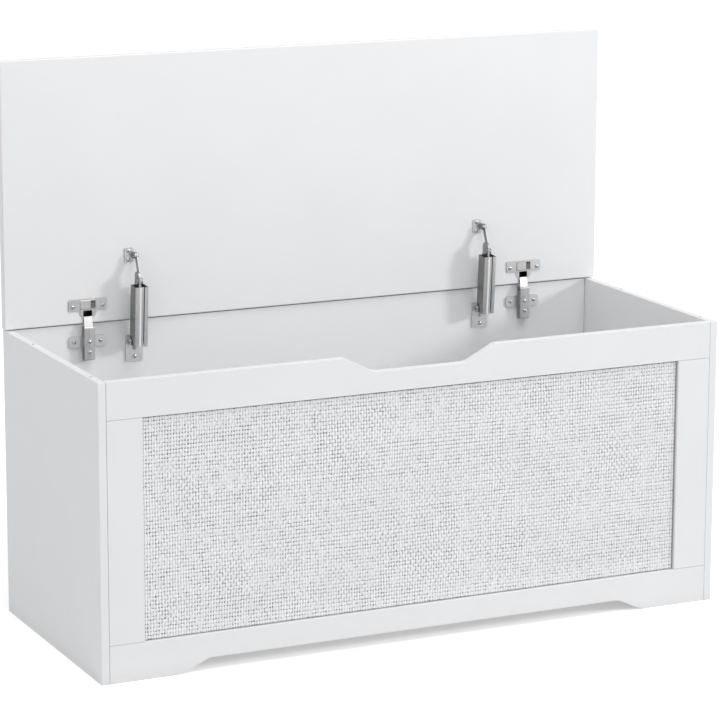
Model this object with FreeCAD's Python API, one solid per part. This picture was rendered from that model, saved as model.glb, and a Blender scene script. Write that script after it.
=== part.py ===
import FreeCAD, Part
import math
import os

# Storage chest: a board box with a framed woven front, and a lid on two cup hinges and two stays.
# Millimetres. The front is -Y and +Z is up. The origin is the centre of the box's footprint.
# The lid is modelled standing open at a right angle, and every joint is at rest there.

# Box and boards
box_width = 995.0
box_depth = 394.0
box_height = 435.0
board = 12.0
joint_gap = 0.4
edge_radius = 0.8
cut_over = 2.0

# Lid
lid_overhang = 2.5
lid_depth = 400.0
lid_thickness = 15.0
lid_edge_radius = 2.0
lid_gap = 1.4
lid_stand = 4.8
bumper_radius = 2.5
bumper_squash = 0.1
bumper_shares = (-0.8, 0.4)

# Framed front
top_rail_height = 55.0
base_rail_height = 55.5
stile_width = 54.0
frame_edge_radius = 0.6
scoop_depth = 24.0
scoop_top_half = 121.0
scoop_floor_half = 74.5
scoop_top_radius = 14.0
scoop_floor_radius = 35.0
arch_height = 19.2
arch_top_half = 335.0
arch_foot_half = 375.5
arch_top_radius = 25.0
arch_foot_radius = 60.0
backing_thickness = 9.0
backing_lap = 20.0
insert_thickness = 5.4
weave_thickness = 2.6
panel_gap = 1.3

# Board connectors
cam_radius = 6.0
cam_depth = 9.5
cam_reach = 24.0
bolt_radius = 2.5
bolt_in_side = 8.5
dowel_radius = 3.0
dowel_in_side = 8.0
dowel_in_board = 16.0
back_cam_shares = (0.18, 0.82)
back_dowel_shares = (0.08, 0.5, 0.92)
bottom_cam_shares = (0.2, 0.8)
bottom_dowel_shares = (0.1, 0.5, 0.9)
rail_cam_drop = 17.0
rail_dowel_rise = 17.0
base_cam_rise = 26.0
base_dowel_rise = 10.0
front_dowel_shares = (-0.7, -0.25, 0.25, 0.7)

# Screws: shank radius, head radius and head height
frame_screw_radius = 1.75
frame_screw_head = 3.5
frame_screw_head_height = 2.0
frame_screw_bite = 8.5
rail_screw_shares = (-0.85, -0.4, 0.4, 0.85)
stile_screw_shares = (0.15, 0.5, 0.85)
rear_screw_radius = 2.0
rear_screw_head = 4.0
rear_screw_head_height = 2.4
rear_screw_length = 40.0
rear_screw_shares = (-0.8, 0.0, 0.8)
fit_screw_radius = 1.5
fit_screw_head = 3.2
fit_screw_head_height = 1.6
fit_screw_bite = 10.0
tip_share = 0.9
recess_width_share = 0.28
recess_length_share = 1.15
recess_depth_share = 0.55

# Cup hinges
hinge_from_end = 128.1
cup_radius = 13.4
cup_wall = 0.6
cup_floor = 0.5
cup_depth = 12.0
cup_edge = 19.2
rim_width = 0.6
rim_thickness = 0.5
pin_depth = 5.7
pin_edge = 5.2
hinge_pin_radius = 1.2
running_gap = 0.05
link_thickness = 1.0
link_half_width = 6.7
link_above_pin = 5.3
link_gap = 0.2
eye_gap = 0.3
lug_thickness = 1.5
flange_edge = 19.6
flange_length = 61.0
flange_height = 17.5
flange_thickness = 1.3
flange_corner = 3.0
hood_length = 25.0
hood_height = 14.0
hood_raise = 1.0
slider_left = 4.2
slider_margin = 0.8
slider_height = 11.4
slider_depth = 1.6
cup_screw_spacing = 48.0
cup_screw_rise = 6.6
arm_half_width = 8.3
arm_wall = 1.3
arm_length = 52.0
arm_drop = 2.2
arm_nose_depth = 5.7
arm_back_gap = 0.1
arm_corner = 3.0
arm_edge_radius = 0.8
arm_pin_radius = 1.5
arm_pin_drop = 5.0
arm_pin_head = 0.7
rail_gap = 0.2
rail_length = 34.0
rail_drop = 15.0
wing_half_length = 29.0
wing_height = 17.0
wing_thickness = 2.5
wing_corner = 4.0
wing_drop = 18.0
wing_screw_half_spacing = 21.0
arm_screw_rises = (10.0, 26.0)

# Lid stays
stay_from_end = 203.5
lid_pin_stand = 9.2
lid_pin_height = 98.6
link_reach = 15.0
link_rise = 36.5
stay_tilt = 4.0
housing_half_width = 10.75
housing_depth = 21.0
housing_behind_pin = 4.5
housing_below_pin = 6.0
housing_above_pin = 86.4
housing_wall = 1.3
housing_corner = 2.0
slit_width = 1.4
slit_place_share = 0.68
tongue_thickness = 3.0
tongue_left = 4.2
tongue_below_pin = 5.0
tongue_above_rivet = 14.0
plate_gap = 0.3
stay_arm_thickness = 2.0
stay_arm_width = 8.0
stay_arm_eye = 5.0
stay_pin_radius = 2.0
stay_pin_head = 4.0
stay_pin_head_height = 1.6
elbow_head = 5.5
cross_rivet_radius = 1.5
cross_rivet_head = 2.8
cross_rivet_head_height = 0.8
cross_rivet_rise = 13.0
bracket_wall = 2.0
bracket_base_wall = 1.5
bracket_width = 14.3
bracket_height = 21.5
bracket_corner = 2.0
bracket_ear = 4.6
bracket_screw_half_spacing = 7.0
bracket_screw_side = 5.4
base_pin_radius = 2.5
base_pin_head = 4.2
base_ear = 6.5
base_plate_wall = 2.0
base_plate_below_pin = 34.0
base_screw_drops = (14.0, 27.0)
washer_radius = 6.0
washer_thickness = 0.8
washer_gap = 0.2

# Places that follow from the sizes
half_width = box_width / 2
lid_width = box_width + 2 * lid_overhang
inner_x = half_width - board
front_y = -box_depth / 2
back_y = box_depth / 2
back_inner_y = back_y - board
frame_back_y = front_y + board
backing_back_y = frame_back_y + backing_thickness
rail_z = box_height - top_rail_height
floor_z = base_rail_height - board
opening_x = inner_x - stile_width
insert_front_y = frame_back_y - insert_thickness
hinge_x = half_width - hinge_from_end
stay_x = half_width - stay_from_end

eye_radius = hinge_pin_radius + running_gap + link_thickness
cup_inner = cup_radius - cup_wall
lid_face_y = back_inner_y - lid_stand
pivot_y = lid_face_y + pin_depth
pivot_z = box_height + lid_gap + pin_depth
lid_edge_z = pivot_z - pin_edge
link_back_y = lid_face_y - rim_thickness - link_gap
link_front_y = link_back_y - link_thickness
cup_z = lid_edge_z + cup_edge
flange_z = lid_edge_z + flange_edge
cup_screw_z = flange_z + cup_screw_rise
arm_front_y = link_front_y - arm_nose_depth
wing_y = back_inner_y - wing_thickness
arm_back_y = wing_y - arm_back_gap
arm_top_z = box_height - arm_drop
arm_pin_y = link_back_y - link_thickness - arm_pin_radius
arm_pin_z = arm_top_z - arm_pin_drop

lid_pin = (lid_face_y - lid_pin_stand, lid_edge_z + lid_pin_height)
rivet = (lid_pin[0] - link_reach, lid_pin[1] - link_rise)
base_pin = (pivot_y - link_reach, pivot_z - link_rise)

V = FreeCAD.Vector
ORIGIN = V(0, 0, 0)
AXIS_X = V(1, 0, 0)
AXIS_Y = V(0, 1, 0)
AXIS_Z = V(0, 0, 1)
FULL_TURN = 360


def box(x0, x1, y0, y1, z0, z1):
    return Part.makeBox(x1 - x0, y1 - y0, z1 - z0, V(x0, y0, z0))


def rod(radius, start, end):
    way = end - start
    return Part.makeCylinder(radius, way.Length, start, way)


def fuse(first, *others):
    return first.multiFuse(list(others)).removeSplitter()


def flat(corners, place):
    """A face from corners (a, b, radius), rounded where the radius is not zero."""
    edges = []
    ends = []
    count = len(corners)
    for i in range(count):
        before = V(*corners[i - 1][:2], 0)
        here = V(*corners[i][:2], 0)
        after = V(*corners[(i + 1) % count][:2], 0)
        radius = corners[i][2]
        if radius == 0:
            ends.append((here, None, here))
            continue
        back = (before - here).normalize()
        on = (after - here).normalize()
        half = back.getAngle(on) / 2
        reach = radius / math.tan(half)
        middle = here + (back + on).normalize() * (radius / math.sin(half) - radius)
        ends.append((here + back * reach, middle, here + on * reach))
    for i in range(count):
        start, middle, end = ends[i]
        if middle is not None:
            edges.append(Part.Arc(place(start), place(middle), place(end)).toShape())
        edges.append(Part.LineSegment(place(end), place(ends[(i + 1) % count][0])).toShape())
    return Part.Face(Part.Wire(edges))


def plate_y(corners, y0, y1):
    """A plate facing along Y, from corners (x, z, radius)."""
    return flat(corners, lambda p: V(p.x, y0, p.y)).extrude(V(0, y1 - y0, 0))


def plate_x(corners, x0, x1):
    """A plate facing along X, from corners (y, z, radius)."""
    return flat(corners, lambda p: V(x0, p.x, p.y)).extrude(V(x1 - x0, 0, 0))


def rectangle(a0, a1, b0, b1, radius):
    return [(a0, b0, radius), (a1, b0, radius), (a1, b1, radius), (a0, b1, radius)]


def rounded(shape, radius):
    return shape.makeFillet(radius, shape.Edges)


def ease_front(shape, y, radius):
    """Round the edges of the face that lies at y."""
    edges = [e for e in shape.Edges if abs(e.BoundBox.YMin - y) < radius and e.BoundBox.YLength < radius]
    return shape.makeFillet(radius, edges)


def screw(head_point, direction, length, shank, head, head_height, flush):
    """A cross-head screw. Its head stands on head_point, or ends flush with it."""
    tip = shank * tip_share
    outline = [V(0, 0, -length), V(shank, 0, tip - length)]
    if flush:
        outline += [V(shank, 0, -head_height), V(head, 0, 0), ORIGIN, V(0, 0, -length)]
        solid = Part.Face(Part.makePolygon(outline)).revolve(ORIGIN, AXIS_Z, FULL_TURN)
        top = 0
    else:
        outline += [V(shank, 0, 0), V(head, 0, 0)]
        crown = Part.Arc(V(head, 0, 0), V(head * math.sqrt(0.5), 0, head_height * math.sqrt(0.5)),
                         V(0, 0, head_height)).toShape()
        axis = Part.LineSegment(V(0, 0, head_height), V(0, 0, -length)).toShape()
        profile = Part.Wire(Part.makePolygon(outline).Edges + [crown, axis])
        solid = Part.Face(profile).revolve(ORIGIN, AXIS_Z, FULL_TURN)
        top = head_height
    wide = head * recess_width_share / 2
    long = head * recess_length_share / 2
    deep = head_height * recess_depth_share
    slots = fuse(box(-long, long, -wide, wide, top - deep, top + head_height),
                 box(-wide, wide, -long, long, top - deep, top + head_height))
    solid = solid.cut(slots)
    solid.Placement = FreeCAD.Placement(head_point, FreeCAD.Rotation(AXIS_Z, direction))
    return solid


def shank_hole(head_point, direction, length, shank):
    return rod(shank, head_point, head_point - direction * length)


def export(name, *solids):
    shape = solids[0] if len(solids) == 1 else Part.makeCompound(list(solids))
    shape.exportStep("parts/" + name + ".step")


def along(start, end, share):
    return start + (end - start) * share


# Boards of the box
def make_boards():
    end_x = inner_x - joint_gap
    low_z = base_rail_height + joint_gap
    high_z = rail_z - joint_gap
    corners_top = [(-end_x, rail_z, 0), (end_x, rail_z, 0), (end_x, box_height, 0),
                   (scoop_top_half, box_height, scoop_top_radius),
                   (scoop_floor_half, box_height - scoop_depth, scoop_floor_radius),
                   (-scoop_floor_half, box_height - scoop_depth, scoop_floor_radius),
                   (-scoop_top_half, box_height, scoop_top_radius), (-end_x, box_height, 0)]
    corners_base = [(-end_x, 0, 0), (-arch_foot_half, 0, arch_foot_radius),
                    (-arch_top_half, arch_height, arch_top_radius),
                    (arch_top_half, arch_height, arch_top_radius),
                    (arch_foot_half, 0, arch_foot_radius), (end_x, 0, 0),
                    (end_x, base_rail_height, 0), (-end_x, base_rail_height, 0)]
    boards = {
        "side_panel_left": box(-half_width, -inner_x, front_y, back_y, 0, box_height),
        "side_panel_right": box(inner_x, half_width, front_y, back_y, 0, box_height),
        "back_panel": box(-end_x, end_x, back_inner_y, back_y, arch_height, box_height),
        "bottom_panel": box(-inner_x, inner_x, frame_back_y, back_inner_y, floor_z, base_rail_height),
        "front_top_rail": ease_front(plate_y(corners_top, front_y, frame_back_y), front_y, frame_edge_radius),
        "front_base_rail": ease_front(plate_y(corners_base, front_y, frame_back_y), front_y, frame_edge_radius),
        "front_stile_left": box(-end_x, -opening_x, front_y, frame_back_y, low_z, high_z),
        "front_stile_right": box(opening_x, end_x, front_y, frame_back_y, low_z, high_z),
        "front_backing_board": box(-inner_x, inner_x, frame_back_y, backing_back_y,
                                   base_rail_height, rail_z + backing_lap),
    }
    for name in ("side_panel_left", "side_panel_right", "back_panel"):
        boards[name] = rounded(boards[name], edge_radius)
    for name in ("front_stile_left", "front_stile_right"):
        boards[name] = ease_front(boards[name], front_y, frame_edge_radius)
    return boards


def drill(boards, tool, *names):
    for name in names:
        boards[name] = boards[name].cut(tool)


# Cam discs, their bolts, dowels and screws that hold the box together
def add_connectors(boards):
    found = {"cam_discs": [], "cam_bolts": [], "dowels": [], "frame_screws": [], "rear_screws": []}

    def cam(name, side, y, z, face):
        panel = "side_panel_right" if side > 0 else "side_panel_left"
        middle = V(side * (inner_x - cam_reach), y, z)
        bolt = rod(bolt_radius, V(side * (inner_x + bolt_in_side), y, z), middle)
        rim = middle + face * (board / 2)
        disc = rod(cam_radius, rim - face * cam_depth, rim)
        drill(boards, bolt, panel, name)
        drill(boards, disc, name)
        found["cam_bolts"].append(bolt)
        slot = rod(bolt_radius, middle, V(side * inner_x, y, z))
        found["cam_discs"].append(disc.cut(slot))

    def dowel(name, side, y, z):
        panel = "side_panel_right" if side > 0 else "side_panel_left"
        pin = rod(dowel_radius, V(side * (inner_x + dowel_in_side), y, z),
                  V(side * (inner_x - dowel_in_board), y, z))
        drill(boards, pin, panel, name)
        found["dowels"].append(pin)

    back_middle_y = back_y - board / 2
    front_middle_y = front_y + board / 2
    floor_middle_z = base_rail_height - board / 2
    for side in (-1, 1):
        for share in back_cam_shares:
            cam("back_panel", side, back_middle_y, along(arch_height, box_height, share), AXIS_Y)
        for share in back_dowel_shares:
            dowel("back_panel", side, back_middle_y, along(arch_height, box_height, share))
        for share in bottom_cam_shares:
            cam("bottom_panel", side, along(frame_back_y, back_inner_y, share), floor_middle_z, -AXIS_Z)
        for share in bottom_dowel_shares:
            dowel("bottom_panel", side, along(frame_back_y, back_inner_y, share), floor_middle_z)
        cam("front_top_rail", side, front_middle_y, box_height - rail_cam_drop, AXIS_Y)
        dowel("front_top_rail", side, front_middle_y, rail_z + rail_dowel_rise)
        cam("front_base_rail", side, front_middle_y, base_cam_rise, AXIS_Y)
        dowel("front_base_rail", side, front_middle_y, base_dowel_rise)

    for share in front_dowel_shares:
        x = share * inner_x
        pin = rod(dowel_radius, V(x, frame_back_y - dowel_in_side, floor_middle_z),
                  V(x, frame_back_y + dowel_in_board, floor_middle_z))
        drill(boards, pin, "front_base_rail", "bottom_panel")
        found["dowels"].append(pin)

    length = backing_thickness + frame_screw_bite
    places = [("front_top_rail", share * inner_x, rail_z + backing_lap / 2) for share in rail_screw_shares]
    for side, name in ((-1, "front_stile_left"), (1, "front_stile_right")):
        for share in stile_screw_shares:
            places.append((name, side * (inner_x - stile_width / 2), along(base_rail_height, rail_z, share)))
    for name, x, z in places:
        head = V(x, backing_back_y, z)
        item = screw(head, AXIS_Y, length, frame_screw_radius, frame_screw_head, frame_screw_head_height, True)
        hole = shank_hole(head, AXIS_Y, length, frame_screw_radius)
        sink = Part.makeCone(frame_screw_head, frame_screw_radius, frame_screw_head_height, head, -AXIS_Y)
        drill(boards, hole.fuse(sink), "front_backing_board", name)
        found["frame_screws"].append(item)

    for share in rear_screw_shares:
        head = V(share * inner_x, back_y, floor_middle_z)
        item = screw(head, AXIS_Y, rear_screw_length, rear_screw_radius, rear_screw_head,
                     rear_screw_head_height, True)
        hole = shank_hole(head, AXIS_Y, rear_screw_length, rear_screw_radius)
        sink = Part.makeCone(rear_screw_head, rear_screw_radius, rear_screw_head_height, head, -AXIS_Y)
        drill(boards, hole.fuse(sink), "back_panel", "bottom_panel")
        found["rear_screws"].append(item)
    return found


# Insert board in the front opening, and the woven cover on it
def make_front_panel():
    half = opening_x - panel_gap
    low_z = base_rail_height + panel_gap
    high_z = rail_z - panel_gap
    insert = box(-half, half, insert_front_y, frame_back_y, low_z, high_z)
    weave = box(-half, half, insert_front_y - weave_thickness, insert_front_y, low_z, high_z)
    return insert, weave


# One cup hinge, about the middle x
def cup_hinge(x):
    centre = V(x, lid_face_y, cup_z)
    deep = V(0, cup_depth, 0)
    proud = V(0, -rim_thickness, 0)
    cup = fuse(rod(cup_radius, centre, centre + deep),
               rod(cup_radius + rim_width, centre + proud, centre))
    pocket_half = link_half_width + eye_gap
    pocket_low = pivot_z - eye_radius - eye_gap
    pocket_back = pivot_y + eye_radius + eye_gap
    lug_half = pocket_half + lug_thickness
    shell = box(x - lug_half, x + lug_half, lid_face_y, pocket_back + cup_floor, pocket_low - cup_wall, cup_z)
    pocket = box(x - pocket_half, x + pocket_half, lid_face_y - rim_thickness - cut_over, pocket_back,
                 pocket_low, flange_z)
    hollow = rod(cup_inner, centre, centre + V(0, cup_depth - cup_floor, 0))
    bore = fuse(rod(cup_radius, centre, centre + deep), shell)
    cup = fuse(cup, shell).cut(hollow).cut(pocket)
    half = flange_length / 2
    flange = plate_y(rectangle(x - half, x + half, flange_z, flange_z + flange_height, flange_corner),
                     lid_face_y - flange_thickness, lid_face_y)
    hood_z = flange_z + (flange_height - hood_height) / 2
    low = lid_face_y - flange_thickness
    hood = box(x - hood_length / 2, x + hood_length / 2, low - hood_raise, low, hood_z, hood_z + hood_height)
    front_edges = [e for e in hood.Edges if e.BoundBox.YMax < low - hood_raise / 2]
    hood = hood.makeChamfer(hood_raise * tip_share, front_edges)
    slider_right = x + hood_length / 2 - slider_margin
    slider_top = hood_z + hood_height - slider_margin
    seat = box(x + slider_left, slider_right, low - hood_raise, low - hood_raise + slider_depth,
               slider_top - slider_height, slider_top)
    cup = fuse(cup, flange, hood).cut(seat)
    pin = rod(hinge_pin_radius, V(x - lug_half, pivot_y, pivot_z), V(x + lug_half, pivot_y, pivot_z))
    cup = cup.cut(pin)

    screws = []
    holes = []
    length = flange_thickness + fit_screw_bite
    for side in (-1, 1):
        head = V(x + side * cup_screw_spacing / 2, low, cup_screw_z)
        screws.append(screw(head, -AXIS_Y, length, fit_screw_radius, fit_screw_head,
                            fit_screw_head_height, False))
        holes.append(shank_hole(head, -AXIS_Y, length, fit_screw_radius))
    for hole in holes:
        cup = cup.cut(hole)
    return cup, pin, screws, [bore] + holes


# Link of a hinge: rolled round the hinge pin, down and forward out of the cup, round the arm's pin
def hinge_link(x):
    pin = V(x, pivot_y, pivot_z)
    wide = V(link_half_width, 0, 0)
    eye = rod(eye_radius, pin - wide, pin + wide)
    top = pivot_z + eye_radius
    strip = box(x - link_half_width, x + link_half_width, link_front_y, pivot_y, top - link_thickness, top)
    leaf_top = pivot_z + link_above_pin
    roll_front = arm_pin_y - arm_pin_radius - link_thickness
    leaf = plate_x([(roll_front, arm_pin_z, 0), (roll_front + link_thickness, arm_pin_z, 0),
                    (link_back_y, leaf_top, 0), (link_front_y, leaf_top, 0)],
                   x - link_half_width, x + link_half_width)
    arm_pin = V(x, arm_pin_y, arm_pin_z)
    roll = rod(arm_pin_radius + link_thickness, arm_pin - wide, arm_pin + wide)
    link = fuse(eye, strip, leaf, roll)
    link = link.cut(rod(hinge_pin_radius + running_gap, pin - wide, pin + wide))
    return link.cut(rod(arm_pin_radius, arm_pin - wide, arm_pin + wide))


# Arm of a hinge with its pin, on a mounting plate screwed to the back panel
def hinge_arm(x):
    low_z = arm_top_z - arm_length
    side = [(arm_back_y, low_z, 0), (arm_back_y, arm_top_z, 0), (arm_front_y, arm_top_z, arm_corner),
            (arm_front_y, low_z, arm_corner)]
    arm = plate_x(side, x - arm_half_width, x + arm_half_width)
    long_edges = [e for e in arm.Edges if e.BoundBox.ZLength > arm_length / 2 and e.BoundBox.XLength < arm_wall]
    arm = arm.makeFillet(arm_edge_radius, [e for e in long_edges if e.BoundBox.YMax < arm_front_y + arm_wall])
    inner = arm_half_width - arm_wall
    arm = arm.cut(box(x - inner, x + inner, arm_front_y + arm_wall, arm_back_y + cut_over,
                      low_z - cut_over, arm_top_z + cut_over))
    reach = V(arm_half_width, 0, 0)
    centre = V(x, arm_pin_y, arm_pin_z)
    shank = rod(arm_pin_radius, centre - reach, centre + reach)
    cap = V(arm_pin_head, 0, 0)
    left = rod(arm_pin_radius + arm_pin_head, centre - reach - cap, centre - reach)
    right = rod(arm_pin_radius + arm_pin_head, centre + reach, centre + reach + cap)
    pin = fuse(shank, left, right)
    arm = arm.cut(shank)

    wing_top = box_height - wing_drop
    wings = plate_y(rectangle(x - wing_half_length, x + wing_half_length, wing_top - wing_height,
                              wing_top, wing_corner), wing_y, back_inner_y)
    rail_half = inner - rail_gap
    rail_top = arm_top_z - rail_drop
    rail_front = arm_front_y + arm_wall
    rail = box(x - rail_half, x + rail_half, rail_front, wing_y, rail_top - rail_length, rail_top)
    plate = fuse(wings, rail)

    screws = []
    wing_z = wing_top - wing_height / 2
    length = wing_thickness + fit_screw_bite
    holes = []
    for side_sign in (-1, 1):
        head = V(x + side_sign * wing_screw_half_spacing, wing_y, wing_z)
        screws.append(screw(head, -AXIS_Y, length, fit_screw_radius, fit_screw_head,
                            fit_screw_head_height, False))
        holes.append(shank_hole(head, -AXIS_Y, length, fit_screw_radius))
    plate = plate.cut(fuse(*holes))
    set_screws = []
    for rise in arm_screw_rises:
        head = V(x, arm_front_y, rail_top - rail_length + rise)
        set_screws.append(screw(head, -AXIS_Y, fit_screw_bite, fit_screw_radius, fit_screw_head,
                                fit_screw_head_height, False))
        hole = shank_hole(head, -AXIS_Y, fit_screw_bite, fit_screw_radius)
        arm = arm.cut(hole)
        plate = plate.cut(hole)
    return arm, pin, plate, screws, set_screws, holes


def pin_x(x0, x1, place, shank, head, head_height):
    """A pin along X through place (y, z), with a rounded head outside each end."""
    left = hole_x(x0 - head_height, x0, place, head)
    right = hole_x(x1, x1 + head_height, place, head)
    left_rim = [e for e in left.Edges if e.BoundBox.XMax < x0 - head_height / 2]
    right_rim = [e for e in right.Edges if e.BoundBox.XMin > x1 + head_height / 2]
    crown = head_height * tip_share
    return fuse(hole_x(x0, x1, place, shank), left.makeFillet(crown, left_rim),
                right.makeFillet(crown, right_rim))


def tilt_at_pin(shape):
    """Lean a shape built about the origin, and set it on the stay's base pin."""
    shape.rotate(ORIGIN, AXIS_X, stay_tilt)
    shape.translate(V(0, base_pin[0], base_pin[1]))
    return shape


def in_stay(place):
    """A place (y, z) in the upright frame that the housing is built in."""
    lean = math.radians(stay_tilt)
    y = place[0] - base_pin[0]
    z = place[1] - base_pin[1]
    return y * math.cos(lean) + z * math.sin(lean), z * math.cos(lean) - y * math.sin(lean)


def hole_x(x0, x1, place, radius):
    return rod(radius, V(x0, *place), V(x1, *place))


# Housing of a stay: a folded channel with a slit, and the tongue plate riveted inside it
def stay_housing(x):
    half = housing_half_width
    back = housing_behind_pin
    front = back - housing_depth
    low = -housing_below_pin
    high = housing_above_pin
    wall = housing_wall
    outer = flat(rectangle(x - half, x + half, front, back, housing_corner), lambda p: V(p.x, p.y, low))
    housing = outer.extrude(V(0, 0, high - low))
    housing = housing.cut(box(x - half + wall, x + half - wall, front + wall, back - wall,
                              low - cut_over, high + cut_over))
    slit_x = x - half + 2 * half * slit_place_share
    housing = housing.cut(box(slit_x - slit_width / 2, slit_x + slit_width / 2, front - cut_over,
                              front + wall + cut_over, low - cut_over, high + cut_over))
    rivet_y, rivet_z = in_stay(rivet)
    arm_left = x - tongue_left + tongue_thickness + plate_gap
    arm_right = arm_left + stay_arm_thickness
    length = math.hypot(link_reach, link_rise)
    lean = math.radians(stay_tilt)
    along_z = (link_reach * math.cos(lean) + link_rise * math.sin(lean)) / length
    along_y = (link_rise * math.cos(lean) - link_reach * math.sin(lean)) / length
    crossing = rivet_z - (back - rivet_y) / along_y * along_z
    notch_z = crossing - stay_arm_width / 2 / along_y - plate_gap * 2
    housing = housing.cut(box(arm_left - plate_gap * 2, arm_right + plate_gap * 2, back - wall - plate_gap,
                              back + cut_over, notch_z, high + cut_over))
    base_hole = base_pin_radius + running_gap
    housing = housing.cut(hole_x(x - half, x + half, (0, 0), base_hole))

    tongue_y = (front + wall, back - wall)
    tongue_top = rivet_z + tongue_above_rivet
    round_top = (tongue_y[1] - tongue_y[0]) / 2
    side = flat([(tongue_y[0], -tongue_below_pin, 0), (tongue_y[1], -tongue_below_pin, 0),
                 (tongue_y[1], tongue_top, round_top * tip_share),
                 (tongue_y[0], tongue_top, round_top * tip_share)],
                lambda p: V(x - tongue_left, p.x, p.y))
    tongue = side.extrude(V(tongue_thickness, 0, 0))
    tongue = tongue.cut(hole_x(x - half, x + half, (0, 0), base_hole))
    tongue = tongue.cut(hole_x(x - half, x + half, (rivet_y, rivet_z), stay_pin_radius))

    cross_place = ((front + back) / 2, cross_rivet_rise)
    cross = pin_x(x - half, x + half, cross_place, cross_rivet_radius, cross_rivet_head, cross_rivet_head_height)
    housing = housing.cut(hole_x(x - half, x + half, cross_place, cross_rivet_radius))
    tongue = tongue.cut(hole_x(x - half, x + half, cross_place, cross_rivet_radius))
    return tilt_at_pin(housing), tilt_at_pin(tongue), tilt_at_pin(cross)


# Arm of a stay, from the tongue's rivet to the pin on the lid's bracket
def stay_arm(x):
    left = x - tongue_left + tongue_thickness + plate_gap
    right = left + stay_arm_thickness
    eyes = [hole_x(left, right, place, stay_arm_eye) for place in (rivet, lid_pin)]
    angle = math.atan2(link_reach, link_rise)
    bar = box(left, right, -stay_arm_width / 2, stay_arm_width / 2, 0, math.hypot(link_reach, link_rise))
    bar.rotate(ORIGIN, AXIS_X, -math.degrees(angle))
    bar.translate(V(0, *rivet))
    arm = fuse(bar, *eyes)
    for place in (rivet, lid_pin):
        arm = arm.cut(hole_x(left, right, place, stay_pin_radius + running_gap))
    pins_right = right + plate_gap
    rivet_pin = pin_x(x - tongue_left, pins_right, rivet, stay_pin_radius, elbow_head, stay_pin_head_height)
    ear_left = left - plate_gap - bracket_wall
    bracket_pin = pin_x(ear_left, pins_right, lid_pin, stay_pin_radius, stay_pin_head, stay_pin_head_height)
    return arm, rivet_pin, bracket_pin


# Bracket of a stay on the lid
def lid_bracket(x):
    ear_right = x - tongue_left + tongue_thickness
    ear_left = ear_right - bracket_wall
    base_left = ear_right - bracket_width
    middle_z = lid_pin[1]
    base = plate_y(rectangle(base_left, ear_right, middle_z - bracket_height / 2,
                             middle_z + bracket_height / 2, bracket_corner),
                   lid_face_y - bracket_base_wall, lid_face_y)
    ear = fuse(box(ear_left, ear_right, lid_pin[0], lid_face_y - bracket_base_wall / 2,
                   middle_z - bracket_ear, middle_z + bracket_ear),
               hole_x(ear_left, ear_right, lid_pin, bracket_ear))
    bracket = fuse(base, ear).cut(hole_x(ear_left, ear_right, lid_pin, stay_pin_radius))
    screws = []
    holes = []
    length = bracket_base_wall + fit_screw_bite
    for side in (-1, 1):
        head = V(base_left + bracket_screw_side, lid_face_y - bracket_base_wall,
                 middle_z + side * bracket_screw_half_spacing)
        screws.append(screw(head, -AXIS_Y, length, fit_screw_radius, fit_screw_head,
                            fit_screw_head_height, False))
        holes.append(shank_hole(head, -AXIS_Y, length, fit_screw_radius))
    return bracket.cut(fuse(*holes)), screws, holes


# Bracket of a stay on the back panel, with its pin and two friction washers
def base_bracket(x):
    inner = housing_half_width + washer_gap + washer_thickness
    outer = inner + bracket_wall
    plate_y0 = back_inner_y - base_plate_wall
    pin_y, pin_z = base_pin
    base = plate_y(rectangle(x - outer, x + outer, pin_z - base_plate_below_pin, pin_z + base_ear,
                             bracket_corner), plate_y0, back_inner_y)
    parts = [base]
    washers = []
    for side in (-1, 1):
        near = x + side * inner
        far = x + side * outer
        ear = [hole_x(near, far, base_pin, base_ear),
               box(min(near, far), max(near, far), pin_y, plate_y0, pin_z - base_ear, pin_z + base_ear)]
        parts += ear
        ring = hole_x(near - side * washer_thickness, near, base_pin, washer_radius)
        washers.append(ring.cut(hole_x(near - side * washer_thickness, near, base_pin, base_pin_radius)))
    bracket = fuse(*parts).cut(hole_x(x - outer, x + outer, base_pin, base_pin_radius))
    pin = pin_x(x - outer, x + outer, base_pin, base_pin_radius, base_pin_head, stay_pin_head_height)
    screws = []
    holes = []
    length = base_plate_wall + fit_screw_bite
    for drop in base_screw_drops:
        head = V(x, plate_y0, pin_z - drop)
        screws.append(screw(head, -AXIS_Y, length, fit_screw_radius, fit_screw_head,
                            fit_screw_head_height, False))
        holes.append(shank_hole(head, -AXIS_Y, length, fit_screw_radius))
    return bracket.cut(fuse(*holes)), pin, washers, screws, holes


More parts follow.
